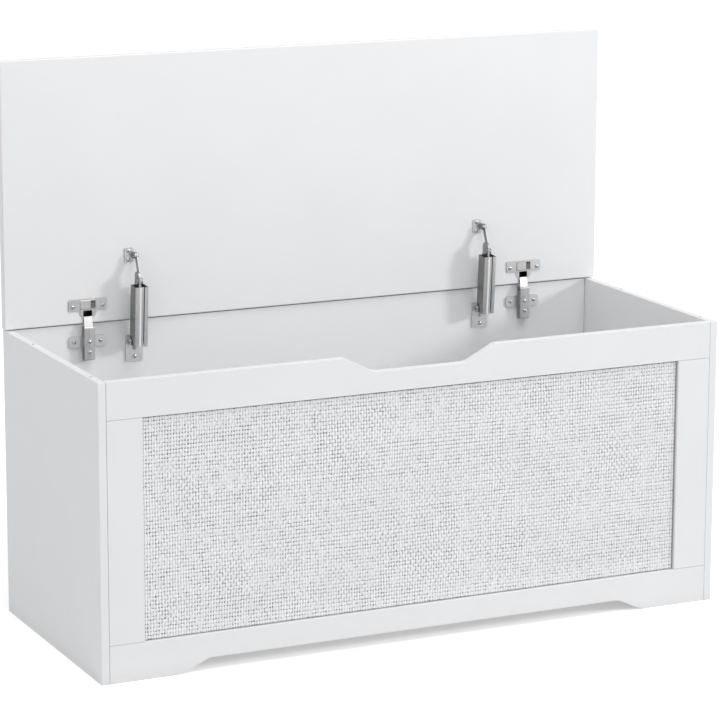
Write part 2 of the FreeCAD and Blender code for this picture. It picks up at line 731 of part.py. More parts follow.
def main():
    os.makedirs("parts", exist_ok=True)
    boards = make_boards()
    found = add_connectors(boards)
    lid = rounded(box(-lid_width / 2, lid_width / 2, lid_face_y, lid_face_y + lid_thickness,
                      lid_edge_z, lid_edge_z + lid_depth), lid_edge_radius)
    groups = {}

    def collect(name, solids):
        groups.setdefault(name, []).extend(solids)

    for side, x in (("left", -hinge_x), ("right", hinge_x)):
        cup, pin, screws, cuts = cup_hinge(x)
        for cut in cuts:
            lid = lid.cut(cut)
        export("hinge_cup_" + side, cup)
        collect("hinge_pins", [pin])
        collect("hinge_cup_screws", screws)
        export("hinge_link_" + side, hinge_link(x))
        arm, arm_pin, plate, screws, set_screws, cuts = hinge_arm(x)
        for cut in cuts:
            boards["back_panel"] = boards["back_panel"].cut(cut)
        export("hinge_arm_" + side, arm)
        export("hinge_plate_" + side, plate)
        collect("hinge_arm_pins", [arm_pin])
        collect("hinge_plate_screws", screws)
        collect("hinge_arm_screws", set_screws)

    for side, x in (("left", -stay_x), ("right", stay_x)):
        housing, tongue, cross = stay_housing(x)
        arm, rivet_pin, bracket_pin = stay_arm(x)
        export("stay_housing_" + side, housing)
        export("stay_tongue_" + side, tongue)
        export("stay_rivets_" + side, cross, rivet_pin)
        export("stay_arm_" + side, arm)
        bracket, screws, cuts = lid_bracket(x)
        for cut in cuts:
            lid = lid.cut(cut)
        export("stay_lid_bracket_" + side, bracket)
        collect("stay_lid_screws", screws)
        collect("stay_lid_pins", [bracket_pin])
        bracket, pin, washers, screws, cuts = base_bracket(x)
        for cut in cuts:
            boards["back_panel"] = boards["back_panel"].cut(cut)
        export("stay_base_bracket_" + side, bracket)
        collect("stay_base_pins", [pin])
        collect("stay_washers", washers)
        collect("stay_base_screws", screws)

    bumper_top = box_height + lid_gap - bumper_squash
    bumpers = [rod(bumper_radius, V(side * (half_width - board / 2), share * back_y, box_height),
                   V(side * (half_width - board / 2), share * back_y, bumper_top))
               for side in (-1, 1) for share in bumper_shares]
    export("rim_bumpers", *bumpers)
    export("lid_panel", lid)
    insert, weave = make_front_panel()
    export("front_insert_board", insert)
    export("woven_panel", weave)
    for name, shape in boards.items():
        export(name, shape)
    for name, solids in list(found.items()) + list(groups.items()):
        export(name, *solids)


main()
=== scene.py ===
import math
import random
from typing import NamedTuple

import bmesh
import bpy
from bpy.props import FloatProperty, FloatVectorProperty, IntProperty, PointerProperty
from mathutils import Matrix, Vector


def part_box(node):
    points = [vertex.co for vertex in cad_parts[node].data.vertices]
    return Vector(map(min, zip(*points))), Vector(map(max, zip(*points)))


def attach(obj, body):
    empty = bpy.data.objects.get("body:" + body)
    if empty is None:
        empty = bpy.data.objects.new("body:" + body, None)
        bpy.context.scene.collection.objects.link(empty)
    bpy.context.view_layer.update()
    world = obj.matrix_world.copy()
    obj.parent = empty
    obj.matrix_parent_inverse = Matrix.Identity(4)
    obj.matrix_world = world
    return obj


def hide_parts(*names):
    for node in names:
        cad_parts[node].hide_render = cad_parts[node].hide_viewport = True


bl_info = {
    "name": "Storage chest",
    "version": (1, 0, 0),
    "blender": (4, 5, 0),
    "location": "3D View > Sidebar > Storage chest",
    "description": "Dresses a white storage chest with a woven front, a lid on cup hinges and two lid stays",
    "category": "Add Mesh",
}

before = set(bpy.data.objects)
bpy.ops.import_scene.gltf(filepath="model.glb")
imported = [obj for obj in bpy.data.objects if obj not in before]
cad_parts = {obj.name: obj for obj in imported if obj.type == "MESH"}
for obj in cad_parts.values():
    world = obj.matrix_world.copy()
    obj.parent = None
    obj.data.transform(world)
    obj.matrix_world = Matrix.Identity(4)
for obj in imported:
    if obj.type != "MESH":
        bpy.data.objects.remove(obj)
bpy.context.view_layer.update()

MM = 0.001


def span(node, axis):
    """The lowest and highest place of a node along one axis, in metres."""
    low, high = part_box(node)
    return low[axis], high[axis]


PANEL_LEFT, PANEL_RIGHT = span("woven_panel", 0)
PANEL_FRONT, PANEL_BACK = span("woven_panel", 1)
PANEL_LOW, PANEL_HIGH = span("woven_panel", 2)


# Sizes, colours and lights that a user would change

class WeaveSizes(bpy.types.PropertyGroup):
    column_pitch: FloatProperty(name="Column pitch", description="Distance between two upright cords",
                                default=4.2 * MM, min=1 * MM, subtype="DISTANCE", unit="LENGTH", precision=4)
    row_pitch: FloatProperty(name="Row pitch", description="Distance between two cords that run across",
                             default=5.5 * MM, min=1 * MM, subtype="DISTANCE", unit="LENGTH", precision=4)
    column_fill: FloatProperty(name="Column fill", description="Width of an upright cord over its pitch",
                               default=0.64, min=0.5, max=1.0, subtype="FACTOR")
    row_fill: FloatProperty(name="Row fill", description="Width of a cord that runs across over its pitch",
                            default=0.83, min=0.5, max=1.0, subtype="FACTOR")
    wave: FloatProperty(name="Wave", description="How far a cord rises and falls as it crosses the others",
                        default=0.50 * MM, min=0, subtype="DISTANCE", unit="LENGTH", precision=5)
    crown: FloatProperty(name="Crown",
                         description="How far the middle of a cord stands in front of its sides",
                         default=1.30 * MM, min=0, subtype="DISTANCE", unit="LENGTH", precision=5)
    unevenness: FloatProperty(name="Unevenness", description="How much a cord's width changes along it",
                              default=0.33, min=0, max=0.5, subtype="FACTOR")
    drift: FloatProperty(name="Drift", description="How far the rows and columns wander",
                         default=1.3 * MM, min=0, subtype="DISTANCE", unit="LENGTH", precision=5)
    waver: FloatProperty(name="Waver",
                         description="How far a cord that runs across shifts from column to column",
                         default=0.45 * MM, min=0, subtype="DISTANCE", unit="LENGTH", precision=5)
    # The margin leaves the dark sheet bare, as a painted shadow line at the panel's top and sides
    margin: FloatProperty(name="Margin", description="Bare lining left at the panel's top and sides",
                          default=0.6 * MM, min=0, subtype="DISTANCE", unit="LENGTH", precision=5)
    seed: IntProperty(name="Seed", description="Start of the weave's irregularity", default=7)


class Finishes(bpy.types.PropertyGroup):
    board: FloatVectorProperty(name="Board", description="Colour of the foil on the boards",
                               default=(0.80, 0.805, 0.815), min=0, max=1, subtype="COLOR")
    weave: FloatVectorProperty(name="Weave", description="Colour of the woven cord",
                               default=(0.95, 0.955, 0.975), min=0, max=1, subtype="COLOR")
    # Colour of the dark sheet behind the weave, painted shade that shows through its gaps
    shade_sheet: FloatVectorProperty(name="Shade sheet", description="Colour of the cloth behind the weave",
                                default=(0.04, 0.04, 0.042), min=0, max=1, subtype="COLOR")
    nickel: FloatVectorProperty(name="Nickel", description="Colour of the bright plated hardware",
                                default=(0.92, 0.915, 0.905), min=0, max=1, subtype="COLOR")
    steel: FloatVectorProperty(name="Steel", description="Colour of the zinc-plated screws and bolts",
                               default=(0.55, 0.56, 0.57), min=0, max=1, subtype="COLOR")
    dowel: FloatVectorProperty(name="Dowel", description="Colour of the beech dowels",
                               default=(0.62, 0.43, 0.24), min=0, max=1, subtype="COLOR")


class Studio(bpy.types.PropertyGroup):
    key: FloatProperty(name="Key light", description="Power of the light at the right front",
                       default=1054.0, min=0, unit="POWER")
    top: FloatProperty(name="Top light", description="Power of the light above the front",
                       default=29.0, min=0, unit="POWER")
    sky: FloatProperty(name="Sky", description="Strength of the soft light from all round",
                       default=1.31, min=0)
    beside: FloatProperty(name="Sky at the right",
                          description="Share of the sky's strength that is left at the right",
                          default=0.316, min=0, max=1, subtype="FACTOR")
    behind: FloatProperty(name="Sky behind",
                          description="Share of the sky's strength that is left at the back",
                          default=0.90, min=0, max=1, subtype="FACTOR")
    overhead: FloatProperty(name="Sky overhead",
                            description="Share of the sky's strength that is left overhead",
                            default=0.60, min=0, max=1, subtype="FACTOR")
    floor: FloatVectorProperty(name="Floor", description="Colour of the floor, as it lights the chest",
                               default=(0.65, 0.65, 0.65), min=0, max=1, subtype="COLOR")


# Node trees

class Wire:
    """One output of a node. Arithmetic on it adds Math nodes."""

    def __init__(self, nodes, socket):
        self.nodes = nodes
        self.socket = socket

    def math(self, operation, first, second=0.0):
        return self.nodes.add("ShaderNodeMath", {"operation": operation}, {0: first, 1: second})

    def __add__(self, other):
        return self.math("ADD", self, other)

    def __radd__(self, other):
        return self.math("ADD", other, self)

    def __sub__(self, other):
        return self.math("SUBTRACT", self, other)

    def __rsub__(self, other):
        return self.math("SUBTRACT", other, self)

    def __mul__(self, other):
        return self.math("MULTIPLY", self, other)

    def __rmul__(self, other):
        return self.math("MULTIPLY", other, self)

    def __abs__(self):
        return self.math("ABSOLUTE", self)

    def larger(self, other):
        return self.math("MAXIMUM", self, other)

    def step(self, low, high):
        """0 below low, 1 above high, and a smooth rise between them."""
        return self.nodes.add("ShaderNodeMapRange", {"interpolation_type": "SMOOTHSTEP"},
                              {"Value": self, "From Min": low, "From Max": high})

    def fade(self, start, share):
        """1 up to start, and an even change from there to share at 1."""
        return self.nodes.add("ShaderNodeMapRange", {},
                              {"Value": self, "From Min": start, "To Min": 1.0, "To Max": share})


class Nodes:
    """A node tree to which calls add nodes."""

    def __init__(self, tree):
        self.tree = tree

    def add(self, kind, settings=None, inputs=None, output=0):
        """Adds a node with its settings and inputs, and gives one of its outputs."""
        node = self.tree.nodes.new(kind)
        for name, value in (settings or {}).items():
            setattr(node, name, value)
        for name, value in (inputs or {}).items():
            self.feed(node.inputs[name], value)
        return Wire(self, node.outputs[output])

    def feed(self, socket, value):
        """Links a Wire to a socket, or sets the socket to a plain value."""
        if isinstance(value, Wire):
            self.tree.links.new(value.socket, socket)
        elif socket.type == "RGBA":
            socket.default_value = (*value, 1.0)
        else:
            socket.default_value = value

    def seen(self, *rays):
        """1 where a ray is of one of the kinds named, and 0 elsewhere."""
        answer = 0.0
        for kind in rays:
            answer = self.add("ShaderNodeLightPath", output=f"Is {kind} Ray").larger(answer)
        return answer


class Paint(Nodes):
    """A material's nodes, on a Principled shader that reads Object coordinates."""

    def __init__(self, name, **fixed):
        self.material = bpy.data.materials.new(name)
        self.material.use_nodes = True
        super().__init__(self.material.node_tree)
        self.shader = self.tree.nodes["Principled BSDF"]
        self.place = self.add("ShaderNodeTexCoord", output="Object")
        for socket, value in fixed.items():
            self.shader.inputs[socket].default_value = value

    def noise(self, scale, detail=2.0, stretch=None):
        """Noise of about one feature per 1/scale metres, longer where stretch is small."""
        where = self.place
        if stretch:
            where = self.add("ShaderNodeMapping", {}, {"Vector": where, "Scale": stretch})
        return self.add("ShaderNodeTexNoise", {}, {"Vector": where, "Scale": scale, "Detail": detail})

    def axis(self, name, vector=None):
        return self.add("ShaderNodeSeparateXYZ", {}, {"Vector": vector or self.place}, output=name)

    def mix(self, factor, first, second):
        return self.add("ShaderNodeMix", {"data_type": "RGBA"}, {0: factor, 6: first, 7: second}, output=2)

    def finish(self, color, roughness, *bumps):
        """Feeds the shader. Each bump is its height from 0 to 1, its depth in metres and its strength."""
        normal = None
        for height, depth, strength in bumps:
            inputs = {"Height": height, "Distance": depth, "Strength": strength}
            if normal is not None:
                inputs["Normal"] = normal
            normal = self.add("ShaderNodeBump", {}, inputs)
        for socket, value in (("Base Color", color), ("Roughness", roughness), ("Normal", normal)):
            self.feed(self.shader.inputs[socket], value)
        return self.material


def shade(color, factor):
    return tuple(channel * factor for channel in color)


def paint_nodes(material, *nodes):
    for name in nodes:
        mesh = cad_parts[name].data
        mesh.materials.clear()
        mesh.materials.append(material)


def both(*bases):
    """The names of the left and right nodes that start like this."""
    return [base + side for base in bases for side in ("left", "right")]


# Materials. Noise scales are features per metre, and colours are linear.

# Height below which the boards grow darker in patches
LOW_DARKENING_TOP = 20 * MM
# Top edge of the back panel: raw board, darkened with painted shade of the gap under the lid
RAW_EDGE_AND_SHADE = (0.10, 0.09, 0.085)
# Painted shade inside a hinge's cup, behind the lid's face
CUP_SHADE = (0.035, 0.035, 0.037)
# Colour of the painted highlight stripe on a stay's housing
HIGHLIGHT_PALE = (0.97, 0.97, 0.97)
BUMPER_PAD = (0.70, 0.70, 0.70)
WASHER_FIBRE = (0.05, 0.05, 0.052)
# Greys of the hinge sliders, dark as painted shade of the recess beside the cup
SLIDER_SHADE_GREYS = ((0.105, 0.105, 0.11), (0.15, 0.15, 0.155))
SLIDER_SHADOW = (0.02, 0.02, 0.02)

# Depths behind the panel's front between which painted shade on the weave grows darker
WEAVE_SHADE_START = 0.8 * MM
WEAVE_SHADE_FULL = 2.1 * MM

# Half widths of the painted highlight stripe on a stay's housing, where it is full and where it ends
HIGHLIGHT_FULL = 0.4 * MM
HIGHLIGHT_END = 2.2 * MM

# How far each axis stretches the fine lines of plated metal, and its lowest and highest roughness
ROLLED_UP = (1.0, 1.0, 0.12)
ROLLED_ACROSS = (0.12, 1.0, 1.0)
DRAWN_UP = (1.0, 1.0, 0.1)
TURNED = (1.0, 0.4, 0.4)
BAR_STOCK = (1.0, 1.0, 0.2)
SHEET_GLOSS = (0.28, 0.38)
DRAWN_GLOSS = (0.26, 0.36)
ZINC_GLOSS = (0.30, 0.42)
RIVET_GLOSS = (0.22, 0.34)
SCREW_GLOSS = (0.20, 0.30)


def board_foil(name, color, raw_and_shaded_above=None):
    """Satin white foil: a fine leathery skin, faint cloudiness and some patchy darkening low down. Above
    raw_and_shaded_above, where one is given, the board's top edge is dark: raw board without foil, darkened
    with painted shade of the gap under the lid."""
    paint = Paint(name, IOR=1.46)
    clouds = paint.noise(7.0, detail=3.0)
    skin = paint.noise(1400.0)
    pores = paint.noise(420.0, detail=3.0)
    low_darkening = (LOW_DARKENING_TOP - paint.axis("Z")).step(0.0, LOW_DARKENING_TOP) * paint.noise(60.0, detail=4.0)
    tone = paint.mix(clouds.step(0.35, 0.65), shade(color, 0.985), color)
    tone = paint.mix(low_darkening * 0.35, tone, shade(color, 0.72))
    if raw_and_shaded_above is not None:
        # Painted shade of the gap under the lid, on the raw top edge
        tone = paint.mix((paint.axis("Z") - raw_and_shaded_above).step(0.0, 0.05 * MM), tone, RAW_EDGE_AND_SHADE)
    gloss = 0.36 + 0.08 * clouds + 0.10 * pores
    return paint.finish(tone, gloss, (skin, 0.03 * MM, 0.35), (pores, 0.05 * MM, 0.25))


def woven_cord(name, color, stretch):
    """Twisted cord: fibres along it, some lengths a little greyer, and painted shade that grows darker
    further back in the weave.
    """
    paint = Paint(name, IOR=1.4)
    fibres = paint.noise(900.0, detail=3.0, stretch=stretch)
    lengths = paint.noise(150.0, detail=1.0, stretch=stretch)
    patches = paint.noise(30.0)
    # Painted shade: the further back in the weave, the darker the cord
    depth_shade = (paint.axis("Y") - PANEL_FRONT).step(WEAVE_SHADE_START, WEAVE_SHADE_FULL)
    tone = paint.mix(fibres.step(0.3, 0.7), shade(color, 0.90), color)
    tone = paint.mix(lengths.step(0.45, 0.75) * 0.5, tone, shade(color, 0.88))
    tone = paint.mix(patches.step(0.4, 0.8) * 0.3, tone, shade(color, 0.94))
    tone = paint.mix(depth_shade, tone, shade(color, 0.67))
    return paint.finish(tone, 0.62 + 0.2 * fibres, (fibres, 0.25 * MM, 0.6))


def lining_cloth(color):
    """Dark matt cloth with a fine thread, a sheet of painted shade that shows through the weave."""
    paint = Paint("lining_cloth", IOR=1.4)
    thread = paint.noise(1200.0)
    tone = paint.mix(thread, shade(color, 0.7), color)
    return paint.finish(tone, 0.8 + 0.15 * thread, (thread, 0.1 * MM, 0.5))


def plated(name, color, gloss, stretch, banded=0.94, side=0.82, shade_behind_y=None, highlight_x=None):
    """Plated metal: fine lines of the rolled sheet, wide bands, small scratches and cloudy patches. The wide
    bands are partly streaks in the plating and partly painted reflection. banded and side are the shares of
    the colour that are left in the bands and on faces that look sideways, up or down, where the darkening is
    painted shade. Behind shade_behind_y the plating is dark with painted shade, and along highlight_x runs a
    pale painted highlight stripe, where these are given."""
    paint = Paint(name, Metallic=1.0)
    along_x, along_y, along_z = stretch
    lines = paint.noise(2200.0, stretch=stretch)
    clouds = paint.noise(160.0, detail=3.0)
    scratches = paint.noise(700.0, detail=4.0, stretch=(along_y, along_z, along_x))
    # Wide bands: partly streaks in the plating and partly painted reflection
    bands = paint.noise(150.0, detail=1.0, stretch=(along_x, along_y, along_z / 10))
    normal = paint.add("ShaderNodeTexCoord", output="Normal")
    # Painted shade: faces that look sideways, up or down are darker
    aside = abs(paint.axis("X", normal)).larger(abs(paint.axis("Z", normal)))
    tone = paint.mix(clouds.step(0.3, 0.7), shade(color, 0.94), color)
    tone = paint.mix(bands.step(0.38, 0.6), shade(color, banded), tone)
    tone = paint.mix(aside.step(0.3, 0.75), tone, shade(color, side))
    # Painted shade in the hollow behind shade_behind_y
    if shade_behind_y is not None:
        tone = paint.mix((paint.axis("Y") - shade_behind_y).step(0.0, 0.8 * MM), tone, CUP_SHADE)
    # Painted highlight: a pale, less metallic stripe down the housing
    if highlight_x is not None:
        away = abs(paint.axis("X") - highlight_x).step(HIGHLIGHT_FULL, HIGHLIGHT_END)
        painted_highlight = (1 - away) * (1 - aside.step(0.3, 0.6))
        tone = paint.mix(painted_highlight, tone, HIGHLIGHT_PALE)
        paint.feed(paint.shader.inputs["Metallic"], 1.0 - 0.8 * painted_highlight)
    low, high = gloss
    roughness = low + (high - low) * clouds + 0.08 * scratches.step(0.6, 0.75)
    return paint.finish(tone, roughness, (lines, 0.01 * MM, 0.35))


def beech(color):
    """Turned beech with its grain along X."""
    paint = Paint("beech_dowel", IOR=1.45)
    grain = paint.noise(700.0, detail=4.0, stretch=(0.06, 1.0, 1.0))
    tone = paint.mix(grain.step(0.3, 0.7), shade(color, 0.75), color)
    return paint.finish(tone, 0.55 + 0.2 * grain, (grain, 0.1 * MM, 0.5))


def soft_plastic(name, color, low, high):
    """Moulded plastic with a roughness between low and high."""
    paint = Paint(name, IOR=1.48)
    grain = paint.noise(900.0)
    tone = paint.mix(paint.noise(90.0), shade(color, 0.88), color)
    return paint.finish(tone, low + (high - low) * grain, (grain, 0.04 * MM, 0.4))


def slider_plastic(shadow_from):
    """Dark grey moulded plastic whose greys stand in for the shade of the recess beside the cup, and black in
    the painted shadow above shadow_from.
    """
    paint = Paint("slider_plastic", IOR=1.48)
    grain = paint.noise(1500.0)
    tone = paint.mix(grain, *SLIDER_SHADE_GREYS)
    tone = paint.mix((paint.axis("Z") - shadow_from).step(0.0, 0.9 * MM), tone, SLIDER_SHADOW)
    return paint.finish(tone, 0.45 + 0.15 * grain, (grain, 0.03 * MM, 0.4))


# Cords of the woven front

class CordKind(NamedTuple):
    """What sets the cords that run one way apart from the others. crown, wave and waver are shares of the
    weave's sizes, painted_shade_share is the share of its colour left by painted shade, and forward is how
    far the cords lie in front, in metres."""
    piece: str
    finish: str
    along_x: bool
    fibres: tuple
    painted_shade_share: float
    crown: float
    wave: float
    waver: float
    forward: float


UPRIGHT = CordKind("weave_uprights", "upright_cord", False, (1.0, 1.0, 0.08), painted_shade_share=1.0, crown=1.0, wave=0.45,
                   waver=0.0, forward=0.28 * MM)
# The cords that run across are a little darker with painted shade
ACROSS = CordKind("weave_across", "across_cord", True, (0.08, 1.0, 1.0), painted_shade_share=0.97, crown=0.35, wave=1.2,
                  waver=1.0, forward=0.0)

# Sideways places of a cord's four corners, as shares of half its width: edge, crown, crown, edge
CORD_PROFILE = (-1.0, -0.5, 0.5, 1.0)

# Most that a whole cord lies in front of its place or behind it
CORD_SLACK = 0.12 * MM

# Range of a cord's width over its usual width, and of its rise at a crossing over its usual rise
CORD_WIDTHS = (0.97, 1.03)
CORD_RISES = (0.7, 1.2)

# Corners of a cord's section that turn further than this stay sharp
CORD_CORNER = math.radians(92)

# Room in front of the cords
FRONT_ROOM = 0.25 * MM

# Points closer than this are one point
WELD = 0.002 * MM

# Every so many cords a new line of wander starts, and the cords between blend from one line to the next
BAND = 9

# Cords from each side of the panel over which the wander grows to its full reach
EDGE_CORDS = 4

# A line of wander is a sum of waves. Ranges of a wave's reach and turns over its usual ones, and of its
# start in radians, and the number of shares of a cord's length of which the first and last are calm.
WANDER_WAVES = 3
WAVE_REACHES = (0.6, 1.0)
WAVE_TURNS = (0.8, 1.2)
WAVE_STARTS = (0, 6.28)
CALM_SHARES = 12

# How far the two faces of the dark sheet of painted shade lie in front of the panel's back
SHADE_SHEET_FRONT = 0.35 * MM
SHADE_SHEET_BACK = 0.05 * MM


def add_cord(bm, kind, sizes, length, width, cells, phase, wander, rng):
    """One cord, as a long grid rolled into a flat tube that waves over and under the cords it crosses."""
    stations = 2 * cells
    corners = len(CORD_PROFILE)
    made = bmesh.ops.create_grid(bm, x_segments=stations, y_segments=corners, size=0.5)
    slack = rng.uniform(-CORD_SLACK, CORD_SLACK)
    swell = [rng.uniform(1 - sizes.unevenness, 1 + sizes.unevenness) for station in range(stations + 1)]
    rise = [rng.uniform(*CORD_RISES) for station in range(stations + 1)]
    waver = kind.waver * sizes.waver
    shift = [rng.uniform(-waver, waver) for station in range(stations + 1)]
    for vert in made["verts"]:
        share = vert.co.x + 0.5
        station = round(share * stations)
        across = CORD_PROFILE[round((vert.co.y + 0.5) * corners) % corners]
        cycle = math.cos(math.pi * (share * cells + phase - 0.5))
        roundness = math.sqrt(1 - across * across) - 0.5
        lift = kind.crown * sizes.crown * roundness + kind.forward
        forward = kind.wave * sizes.wave * cycle * rise[station] + lift + slack
        run = share * length
        aside = across * width / 2 * swell[station] + wander(run) + shift[station]
        vert.co = Vector((run, -forward, aside)) if kind.along_x else Vector((aside, -forward, run))
    return made["verts"]


def wander_line(rng, reach, length):
    """A slow sideways wander along a cord, nothing at its ends."""
    waves = [(rng.uniform(*WAVE_REACHES) * reach / number, number * rng.uniform(*WAVE_TURNS),
              rng.uniform(*WAVE_STARTS)) for number in range(1, WANDER_WAVES + 1)]

    def at(run):
        share = run / length
        ends = min(1.0, CALM_SHARES * share, CALM_SHARES * (1 - share))
        return ends * sum(size * math.sin(2 * math.pi * turns * share + start)
                          for size, turns, start in waves)

    return at


def piece(name, bm, body, slot, material, smooth=True):
    """Makes an object from a bmesh, on its body and with its material. slot is not used."""
    mesh = bpy.data.meshes.new(name)
    bm.to_mesh(mesh)
    bm.free()
    mesh.materials.append(material)
    for polygon in mesh.polygons:
        polygon.use_smooth = smooth
    obj = bpy.data.objects.new(name, mesh)
    bpy.context.scene.collection.objects.link(obj)
    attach(obj, body)
    return obj


class CHEST_OT_woven_front(bpy.types.Operator):
    """Weave the front panel from upright cords and cords that run across, over a dark sheet of painted shade
    """
    bl_idname = "chest.woven_front"
    bl_label = "Woven front"

    def execute(self, context):
        sizes = context.scene.chest_weave
        colors = context.scene.chest_finishes
        width = PANEL_RIGHT - PANEL_LEFT - 2 * sizes.margin
        height = PANEL_HIGH - PANEL_LOW - sizes.margin
        columns = round(width / sizes.column_pitch)
        rows = round(height / sizes.row_pitch)
        rng = random.Random(sizes.seed)
        self.weave(UPRIGHT, sizes, rng, columns, rows, height, width / columns * sizes.column_fill,
                   width / columns, colors.weave)
        self.weave(ACROSS, sizes, rng, rows, columns, width, height / rows * sizes.row_fill,
                   height / rows, colors.weave)
        self.shade_sheet(colors.shade_sheet)
        return {"FINISHED"}

    def weave(self, kind, sizes, rng, count, crossings, length, width, pitch, color):
        """All the cords that run one way, as one piece."""
        bm = bmesh.new()
        middle_y = PANEL_FRONT + sizes.wave + sizes.crown / 2 + FRONT_ROOM
        first = wander_line(rng, sizes.drift, length)
        for index in range(count):
            place = index % BAND
            if place == 0:
                second = wander_line(rng, sizes.drift, length)
            share = (place + 1) / BAND
            reach = min(1.0, index / EDGE_CORDS, (count - 1 - index) / EDGE_CORDS)
            phase = index + 1 if kind.along_x else index
            verts = add_cord(bm, kind, sizes, length, width * rng.uniform(*CORD_WIDTHS), crossings, phase,
                             lambda run: reach * (first(run) * (1 - share) + second(run) * share), rng)
            if place == BAND - 1:
                first = second
            offset = (index + 0.5) * pitch
            if kind.along_x:
                move = Vector((PANEL_LEFT + sizes.margin, middle_y, PANEL_LOW + offset))
            else:
                move = Vector((PANEL_LEFT + sizes.margin + offset, middle_y, PANEL_LOW))
            bmesh.ops.translate(bm, vec=move, verts=verts)
        bmesh.ops.remove_doubles(bm, verts=bm.verts, dist=WELD)
        bmesh.ops.holes_fill(bm, edges=[edge for edge in bm.edges if edge.is_boundary],
                             sides=len(CORD_PROFILE))
        bmesh.ops.recalc_face_normals(bm, faces=bm.faces)
        for edge in bm.edges:
            edge.smooth = edge.calc_face_angle() < CORD_CORNER
        finish = woven_cord(kind.finish, shade(color, kind.painted_shade_share), kind.fibres)
        cords = piece(kind.piece, bm, "box", "weave", finish)
        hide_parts("woven_panel")

    # A dark sheet behind the cords: painted shade in the weave's gaps
    def shade_sheet(self, color):
        bm = bmesh.new()
        bmesh.ops.create_cube(bm, size=1.0)
        low = Vector((PANEL_LEFT, PANEL_BACK - SHADE_SHEET_FRONT, PANEL_LOW))
        high = Vector((PANEL_RIGHT, PANEL_BACK - SHADE_SHEET_BACK, PANEL_HIGH))
        bmesh.ops.scale(bm, vec=high - low, verts=bm.verts)
        bmesh.ops.translate(bm, vec=(low + high) / 2, verts=bm.verts)
        piece("weave_lining", bm, "box", "weave", lining_cloth(color), smooth=False)


class CHEST_OT_boards(bpy.types.Operator):
    """Give every board of the box and the lid its satin foil"""
    bl_idname = "chest.boards"
    bl_label = "Boards"

    def execute(self, context):
        colors = context.scene.chest_finishes
        # The back panel's raw top edge gets painted shade of the gap under the lid
        raw_and_shaded_above = span("back_panel", 2)[1] - 0.1 * MM
        paint_nodes(board_foil("back_foil", colors.board, raw_and_shaded_above), "back_panel")
        paint_nodes(board_foil("board_foil", colors.board), *both("side_panel_", "front_stile_"),
                    "bottom_panel", "front_top_rail", "front_base_rail", "front_backing_board",
                    "front_insert_board", "lid_panel")
        paint_nodes(beech(colors.dowel), "dowels")
        paint_nodes(soft_plastic("bumper_pad", BUMPER_PAD, 0.25, 0.4), "rim_bumpers")
        # The screws and bolts get the plating's painted shade on faces that look sideways, up or down
        paint_nodes(plated("zinc_steel", colors.steel, ZINC_GLOSS, BAR_STOCK), "cam_bolts", "cam_discs",
                    "frame_screws", "rear_screws")
        return {"FINISHED"}


class CHEST_OT_hardware(bpy.types.Operator):
    """Give the cup hinges and the lid stays their bright plating"""
    bl_idname = "chest.hardware"
    bl_label = "Hinges and stays"

    # Place of the painted highlight stripe across a stay's housing, as a share of its width
    HIGHLIGHT_SHARE = 0.42

    def execute(self, context):
        colors = context.scene.chest_finishes
        nickel, steel = colors.nickel, colors.steel
        lid_face = span("lid_panel", 1)[0]
        # side is the share of colour left by painted shade on faces that look sideways, up or down
        paint_nodes(plated("link_nickel", nickel, SHEET_GLOSS, ROLLED_UP, side=1.0), *both("hinge_link_"))
        paint_nodes(plated("rolled_nickel", nickel, SHEET_GLOSS, ROLLED_UP, side=0.6),
                    *both("hinge_plate_", "stay_base_bracket_"))
        # Behind the lid's face the cup is dark with painted shade
        paint_nodes(plated("cup_nickel", shade(nickel, 0.79), SHEET_GLOSS, ROLLED_ACROSS, side=0.45,
                           shade_behind_y=lid_face), *both("hinge_cup_"))
        paint_nodes(plated("arm_nickel", shade(nickel, 0.84), DRAWN_GLOSS, DRAWN_UP, banded=0.84, side=0.38),
                    *both("hinge_arm_"))
        paint_nodes(plated("stamped_steel", shade(steel, 1.1), ZINC_GLOSS, ROLLED_UP, side=0.5),
                    *both("stay_lid_bracket_", "stay_tongue_", "stay_arm_"))
        paint_nodes(plated("rivet_steel", shade(steel, 0.6), RIVET_GLOSS, TURNED), *both("stay_rivets_"),
                    "hinge_arm_pins", "hinge_pins", "stay_base_pins", "stay_lid_pins")
        paint_nodes(plated("turned_steel", shade(steel, 1.15), SCREW_GLOSS, TURNED, side=0.5),
                    "hinge_plate_screws", "hinge_arm_screws", "hinge_cup_screws", "stay_base_screws",
                    "stay_lid_screws")
        paint_nodes(soft_plastic("friction_washer", WASHER_FIBRE, 0.4, 0.6), "stay_washers")
        for side in ("left", "right"):
            left, right = span("stay_housing_" + side, 0)
            # Each housing gets a painted highlight stripe down its front
            drawn = plated("drawn_nickel_" + side, shade(nickel, 0.86), DRAWN_GLOSS, DRAWN_UP, banded=0.84,
                           side=0.34, highlight_x=left + self.HIGHLIGHT_SHARE * (right - left))
            paint_nodes(drawn, "stay_housing_" + side)
        return {"FINISHED"}


